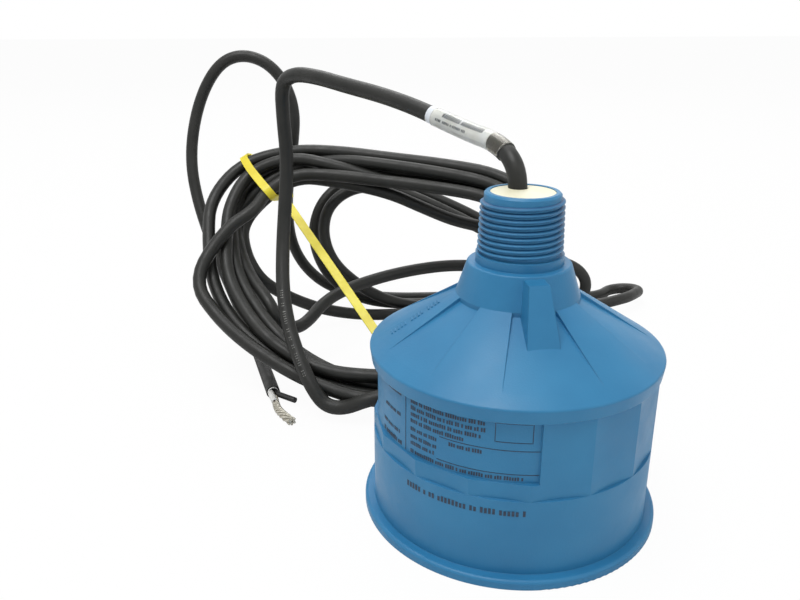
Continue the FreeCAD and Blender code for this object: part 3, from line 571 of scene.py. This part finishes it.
ROW_FOOT = Vector((-49.0, 2.7, 76.5))
ROW_HEAD = Vector((-30.6, 3.6, 88.2))
ROW_BARS = 15
ROW_SPACES = (4, 9)
BAR_SIZE = (0.8, 3.2, 0.7)
CONE_FACING = Vector((-0.5, 0, 0.85))


def cone_row():
    down = (ROW_FOOT - ROW_HEAD).normalized()
    sideways = down.cross(CONE_FACING).normalized()
    turn = Matrix((down, sideways, down.cross(sideways))).transposed().to_4x4()
    bm = bmesh.new()
    for bar in range(ROW_BARS):
        if bar in ROW_SPACES:
            continue
        place = ROW_HEAD.lerp(ROW_FOOT, bar / (ROW_BARS - 1))
        laid = Matrix.Translation(place) @ turn @ Matrix.Diagonal((*BAR_SIZE, 1))
        bmesh.ops.create_cube(bm, size=1.0, matrix=laid)
    bmesh.ops.recalc_face_normals(bm, faces=bm.faces)
    return piece_from(bm, "cone_row", blue_moulding, smooth=False)


cone_row()


# Pieces along the cable.

TOWARDS_FRONT = Vector((-0.25, -0.9, 0.35))
CABLE_INK = 0.03


def nearest(target):
    """The number of the cable point that lies nearest to a place."""
    target = Vector(target)
    return min(range(len(cable_points)), key=lambda i: (cable_points[i] - target).length)


def cable_stretch(middle, before, after):
    """The cable's points from so far before a place to so far after it."""
    first = last = nearest(middle)
    length = 0.0
    while length < before:
        length += (cable_points[first] - cable_points[first - 1]).length
        first -= 1
    length = 0.0
    while length < after:
        length += (cable_points[last + 1] - cable_points[last]).length
        last += 1
    return cable_points[first:last + 1]


def sleeve_along(name, points, radius, wall, material):
    """A thin tube round the cable."""
    line = cord_line(name + "_line", points, radius)
    line.data.use_fill_caps = False
    bm = bmesh.new()
    add_line(bm, line)
    in_millimetres(bm)
    thickened(bm, wall)
    return piece_from(bm, name, material)


def strokes_along(name, points, radius, tall, wide, gap, groups, turn, material):
    """Strokes along a stretch of cable, on the side that faces the front."""
    bm = bmesh.new()
    travelled = 0.0
    due = gap
    count = 0
    for here, following in zip(points, points[1:]):
        run = following - here
        while travelled + run.length > due:
            axis = run.normalized()
            centre = here + axis * (due - travelled)
            outward = (TOWARDS_FRONT - axis * TOWARDS_FRONT.dot(axis)).normalized()
            outward = Matrix.Rotation(turn, 3, axis) @ outward
            stroke(bm, centre, axis, outward, radius, wide, tall / radius)
            count += 1
            due += wide + gap * (GROUP_GAP if count % groups[count % len(groups)] == 0 else 1.0)
        travelled += run.length
    thickened(bm, CABLE_INK)
    return piece_from(bm, name, material, smooth=False)


MARKER_MIDDLE = (-14.5, 46, 148.3)
LABEL_RADIUS = 3.84
LABEL_WALL = 0.16
LABEL_PRINT_RADIUS = 3.90
SLEEVE_RADIUS = 4.08
SLEEVE_WALL = 0.30
JACKET_PRINT_MIDDLE = (-91, 99, 38)
JACKET_PRINT_RADIUS = CABLE_RADIUS + 0.02

label_run = cable_stretch(MARKER_MIDDLE, before=23, after=15)
marker_label = sleeve_along("marker_wrap", label_run, LABEL_RADIUS, LABEL_WALL, label_film)
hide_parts("marker_label")
sleeve_run = cable_stretch(MARKER_MIDDLE, before=34, after=13)
marker_sleeve = sleeve_along(
    "marker_tube", sleeve_run, SLEEVE_RADIUS, SLEEVE_WALL, clear_sleeve)
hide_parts("marker_sleeve")
marker_print = strokes_along(
    "marker_print", cable_stretch(MARKER_MIDDLE, before=19, after=8), LABEL_PRINT_RADIUS,
    tall=2.4, wide=0.8, gap=0.5, groups=[4, 6, 3], turn=0.35, material=black_print)
small_print = strokes_along(
    "marker_small_print", cable_stretch(MARKER_MIDDLE, before=8, after=9), LABEL_PRINT_RADIUS,
    tall=1.1, wide=0.5, gap=0.4, groups=[5, 3], turn=-0.45, material=black_print)
jacket_print = strokes_along(
    "jacket_print", cable_stretch(JACKET_PRINT_MIDDLE, before=22, after=24), JACKET_PRINT_RADIUS,
    tall=1.5, wide=0.3, gap=1.0, groups=[6, 4, 7], turn=0.0, material=pale_print)


# Tie: a strap drawn tight round the hank, with its head and a long tail.

TIE_STATION = 12
TIE_OFF_MIDDLE = (0.2, -0.2)
STRAP_WIDTH = 4.8
STRAP_THICKNESS = 1.2
TAIL_START = 24.0
TAIL_END = 135.0
TAIL_DRIFT = 11.8
TAIL_SIDE = -5.6
TAIL_PROUD = 8.9
HEAD_SIZE = (6.0, 4.6, 5.2)
HEAD_BEYOND_TAIL = 1.0
HEAD_PROUD = 8.0
HEAD_SIDE = TAIL_SIDE + 3.2
BAND_STEPS = 72
BAND_PIECE = 1.2
BAND_SMOOTHINGS = 3
BAND_TILT = 0.9
LEAST_TILT = 0.25
STRAP_OFF_CABLE = 0.3
STRAP_EDGE = 0.3
TIED_WITHIN = 22


def tie_place(before, after):
    """A section of the hank between two stations: its middle, and its outward, forward and side axes."""
    right, upward, forward = hank_axes()
    along = (Vector(COIL_STATIONS[after]) - Vector(COIL_STATIONS[before])).normalized()
    outward = right * along.y - upward * along.x
    middle = (hank_point(before, 0, 0) + hank_point(after, 0, 0)) / 2
    return middle, Matrix((outward, forward, outward.cross(forward))).transposed()


def tied_strands(centre, sideways):
    """Where the strands cross the tied section."""
    crossings = []
    for here, following in zip(cable_points, cable_points[1:]):
        before = (here - centre).dot(sideways)
        after = (following - centre).dot(sideways)
        if before * after > 0 or before == after:
            continue
        crossing = here.lerp(following, before / (before - after))
        if (crossing - centre).length < TIED_WITHIN:
            crossings.append(crossing)
    return crossings


def strap_bar(bm, place, size, lean, offset):
    """A straight piece of the tie with softened corners."""
    corners = bmesh.ops.create_cube(bm, size=1.0)["verts"]
    bmesh.ops.scale(bm, vec=size, verts=corners)
    bmesh.ops.translate(bm, vec=offset, verts=corners)
    bmesh.ops.rotate(bm, cent=(0, 0, 0), matrix=Matrix.Rotation(lean, 3, "Y"), verts=corners)
    bmesh.ops.transform(bm, matrix=place, verts=corners)
    edges = list({edge for vertex in corners for edge in vertex.link_edges})
    bmesh.ops.bevel(bm, geom=edges, offset=STRAP_EDGE, affect="EDGES", segments=2, profile=0.5, material=-1)


def band_outline(strands, centre, turn):
    """The line of a strap drawn tight round the strands, in the tied section, evened out."""
    places = [(turn.transposed() @ (strand - centre)).to_2d() for strand in strands]
    outline = []
    for step in range(BAND_STEPS):
        angle = math.tau * step / BAND_STEPS
        facing = Vector((math.cos(angle), math.sin(angle)))
        outermost = max(places, key=lambda place: place.dot(facing))
        outline.append(outermost + facing * (CABLE_RADIUS + STRAP_OFF_CABLE))
    fine = []
    for here, following in zip(outline, outline[1:] + outline[:1]):
        pieces = max(1, round((following - here).length / BAND_PIECE))
        fine += [here.lerp(following, piece / pieces) for piece in range(pieces)]
    for smoothing in range(BAND_SMOOTHINGS):
        fine = [(fine[i - 1] + fine[i] * 2 + fine[(i + 1) % len(fine)]) / 4 for i in range(len(fine))]
    return fine


def tie_band(bm):
    """The band, which slants along the hank towards the back, and most on its outer side."""
    centre = hank_point(TIE_STATION, *TIE_OFF_MIDDLE)
    turn = tie_place(TIE_STATION - 1, TIE_STATION + 1)[1]
    sideways = turn.col[2]
    outline = band_outline(tied_strands(centre, sideways), centre, turn)
    front = max(place.y for place in outline)
    inner = min(place.x for place in outline)
    span = max(place.x for place in outline) - inner
    rim = []
    for place in outline:
        tilt = BAND_TILT * (front - place.y) * (LEAST_TILT + (1 - LEAST_TILT) * (place.x - inner) / span)
        rim.append(bm.verts.new(centre + turn @ Vector((place.x, place.y, tilt - STRAP_WIDTH / 2))))
    edges = [bm.edges.new((rim[i - 1], rim[i])) for i in range(len(rim))]
    drawn = bmesh.ops.extrude_edge_only(bm, edges=edges)["geom"]
    far_rim = [part for part in drawn if isinstance(part, bmesh.types.BMVert)]
    bmesh.ops.translate(bm, vec=sideways * STRAP_WIDTH, verts=far_rim)
    thickened(bm, -STRAP_THICKNESS)


def tie_tail(bm):
    """The straight tail, and the head at its root."""
    root, turn = tie_place(TIE_STATION - 1, TIE_STATION)
    lean = math.atan2(TAIL_DRIFT, TAIL_END)
    place = Matrix.Translation(root) @ turn.to_4x4()
    strap_bar(bm, place, (TAIL_END - TAIL_START, STRAP_THICKNESS, STRAP_WIDTH), lean,
              (-(TAIL_END + TAIL_START) / 2, TAIL_PROUD, TAIL_SIDE))
    strap_bar(bm, place, HEAD_SIZE, lean, (-TAIL_START + HEAD_BEYOND_TAIL, HEAD_PROUD, HEAD_SIDE))


def cable_tie():
    """The band, the tail and the head, as one piece."""
    bm = bmesh.new()
    tie_band(bm)
    tie_tail(bm)
    piece = piece_from(bm, "strap_tie", yellow_nylon, smooth=False)
    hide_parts("cable_tie")
    return piece


strap_tie = cable_tie()


# Bare end: the two cores, the edge of the foil, the twisted shield, and the wire in the white core.

WHITE_CORE = [(-1, -1.4, 0), (5, -1.4, 0), (10, -1.1, 0)]
BLACK_CORE = [(-1, 2.0, 0), (3, 2.0, 0), (6.5, 4.0, 0.4), (12.5, 9.6, -0.2)]
PIGTAIL = [(-1, 0.4, -1.9), (6, 0.0, -1.9), (14, -0.6, -1.9), (23, 0.8, -1.9), (34, 5.4, -1.9)]
JACKET_END = Vector(END_RUN[-1])
WHITE_CORE_RADIUS = 1.6
BLACK_CORE_RADIUS = 1.5
FOIL_RADIUS = 3.0
FOIL_WALL = 0.3
FOIL_PROUD = 0.6
SHIELD_WIRES = 12
SHIELD_TWISTS = 2.2
SHIELD_WIRE_RADIUS = 0.62
OUTER_WIRES = 1.5
INNER_WIRES = 0.8
SHIELD_SPREAD = 0.8
SHIELD_FLARE = 0.5
FLOOR_CLEARANCE = 0.65
CORE_WIRE_RADIUS = 0.6
CORE_WIRE_TIP_RADIUS = 0.55
CORE_WIRE_LENGTH = 1.2


def end_axes():
    """Along and across the cable's last run."""
    along = (JACKET_END - Vector(END_RUN[-2])).normalized()
    return along, Vector((-along.y, along.x, 0))


def end_route(steps):
    """A route in steps along, across and up from the jacket's cut end."""
    along, across = end_axes()
    return [JACKET_END + along * a + across * b + Vector((0, 0, c)) for a, b, c in steps]


def bare_core(name, steps, radius, material, node):
    """An insulated core that stands out of the jacket."""
    bm = bmesh.new()
    add_line(bm, cord_line(name + "_line", end_route(steps), radius))
    in_millimetres(bm)
    bmesh.ops.remove_doubles(bm, verts=bm.verts, dist=MERGE_WITHIN)
    bmesh.ops.recalc_face_normals(bm, faces=bm.faces)
    piece = piece_from(bm, name, material)
    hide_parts(node)
    return piece


def shield_strands():
    """Wires that wind loosely about the pigtail's middle line."""
    line = cord_line("shield_line", end_route(PIGTAIL), 0)
    middle = line_points(line)
    bpy.data.objects.remove(line)
    bm = bmesh.new()
    for strand in range(SHIELD_WIRES):
        path = []
        for index, (here, following) in enumerate(zip(middle, middle[1:])):
            heading = (following - here).normalized()
            side = heading.cross(UPRIGHT).normalized()
            share = index / len(middle)
            turn = math.tau * (strand / SHIELD_WIRES + share * SHIELD_TWISTS)
            off = (OUTER_WIRES if strand % 2 else INNER_WIRES) * (SHIELD_SPREAD + SHIELD_FLARE * share)
            place = here + (side * math.cos(turn) + side.cross(heading) * math.sin(turn)) * off
            path.append(Vector((place.x, place.y, max(place.z, FLOOR_CLEARANCE))))
        wire = cord_line("shield_wire", path, SHIELD_WIRE_RADIUS)
        wire.data.bevel_resolution = 1
        wire.data.resolution_u = 2
        add_line(bm, wire)
    in_millimetres(bm)
    piece = piece_from(bm, "shield_strands", tinned_braid)
    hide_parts("shield_pigtail")
    return piece


def foil_ring():
    """The edge of the foil screen, just proud of the cut jacket."""
    along = end_axes()[0]
    run = [JACKET_END - along * FOIL_PROUD, JACKET_END, JACKET_END + along * FOIL_PROUD]
    return sleeve_along("foil_ring", run, FOIL_RADIUS, FOIL_WALL, white_insulation)


def white_core_wire():
    along = end_axes()[0]
    bm = bmesh.new()
    turn = along.to_track_quat("Z", "Y").to_matrix().to_4x4()
    bmesh.ops.create_cone(
        bm, cap_ends=True, segments=20, radius1=CORE_WIRE_RADIUS, radius2=CORE_WIRE_TIP_RADIUS,
        depth=CORE_WIRE_LENGTH, matrix=Matrix.Translation(end_route(WHITE_CORE)[-1]) @ turn)
    return piece_from(bm, "white_core_wire", wire_end, smooth=False)


white_core = bare_core(
    "white_core_cover", WHITE_CORE, WHITE_CORE_RADIUS, white_insulation, "white_core")
black_core = bare_core(
    "black_core_cover", BLACK_CORE, BLACK_CORE_RADIUS, black_insulation, "black_core")
ring = foil_ring()
shield = shield_strands()
core_wire = white_core_wire()


# Light and floor. Places and widths are in metres, and powers in watts.

LAMPS = [
    ("key_light", (-0.4, -0.25, 1.5), 0.9, 15.5),
    ("fill_light", (0.9, -0.8, 0.8), 1.0, 2.5),
    ("back_light", (0.1, 1.1, 1.2), 1.0, 8.0),
]
LIT_MIDDLE = Vector((0, 0.03, 0.06))
SURROUND_LIGHT = 0.32
FLOOR_HALF_WIDTH = 6.0
FLOOR_GLOW = 0.96


def studio():
    """A white surround that looks bright but lights softly, and three lamps."""
    scene = bpy.context.scene
    scene.view_settings.view_transform = "Standard"
    world = bpy.data.worlds.new("studio")
    scene.world = world
    world.use_nodes = True
    tree = world.node_tree
    background = tree.nodes["Background"]
    background.inputs["Color"].default_value = (1, 1, 1, 1)
    path = tree.nodes.new("ShaderNodeLightPath")
    mirrored = tree.nodes.new("ShaderNodeMath")
    mirrored.operation = "MAXIMUM"
    visible = tree.nodes.new("ShaderNodeMath")
    visible.operation = "MAXIMUM"
    strength = tree.nodes.new("ShaderNodeMapRange")
    strength.inputs["To Min"].default_value = SURROUND_LIGHT
    strength.inputs["To Max"].default_value = 1.0
    tree.links.new(path.outputs["Is Camera Ray"], mirrored.inputs[0])
    tree.links.new(path.outputs["Is Glossy Ray"], mirrored.inputs[1])
    tree.links.new(mirrored.outputs[0], visible.inputs[0])
    tree.links.new(path.outputs["Is Transmission Ray"], visible.inputs[1])
    tree.links.new(visible.outputs[0], strength.inputs["Value"])
    tree.links.new(strength.outputs["Result"], background.inputs["Strength"])
    for name, place, width, power in LAMPS:
        data = bpy.data.lights.new(name, "AREA")
        data.size = width
        data.energy = power
        lamp = bpy.data.objects.new(name, data)
        lamp.location = place
        lamp.rotation_euler = (LIT_MIDDLE - Vector(place)).to_track_quat("-Z", "Y").to_euler()
        bpy.context.collection.objects.link(lamp)


def floor():
    """A pale floor that glows white to the camera."""
    bm = bmesh.new()
    bmesh.ops.create_grid(bm, x_segments=1, y_segments=1, size=FLOOR_HALF_WIDTH)
    mesh = bpy.data.meshes.new("floor")
    bm.to_mesh(mesh)
    bm.free()
    piece = bpy.data.objects.new("floor", mesh)
    bpy.context.collection.objects.link(piece)
    material = new_finish("pale_floor", (0.9, 0.9, 0.9), roughness=0.9)
    tree = material.node_tree
    glow = tree.nodes.new("ShaderNodeEmission")
    glow.inputs["Color"].default_value = (1, 1, 1, 1)
    path = tree.nodes.new("ShaderNodeLightPath")
    share = tree.nodes.new("ShaderNodeMath")
    share.operation = "MULTIPLY"
    share.inputs[1].default_value = FLOOR_GLOW
    mix = tree.nodes.new("ShaderNodeMixShader")
    tree.links.new(path.outputs["Is Camera Ray"], share.inputs[0])
    tree.links.new(share.outputs[0], mix.inputs["Fac"])
    tree.links.new(surface_of(material).outputs["BSDF"], mix.inputs[1])
    tree.links.new(glow.outputs["Emission"], mix.inputs[2])
    tree.links.new(mix.outputs["Shader"], tree.nodes["Material Output"].inputs["Surface"])
    mesh.materials.append(material)


studio()
floor()
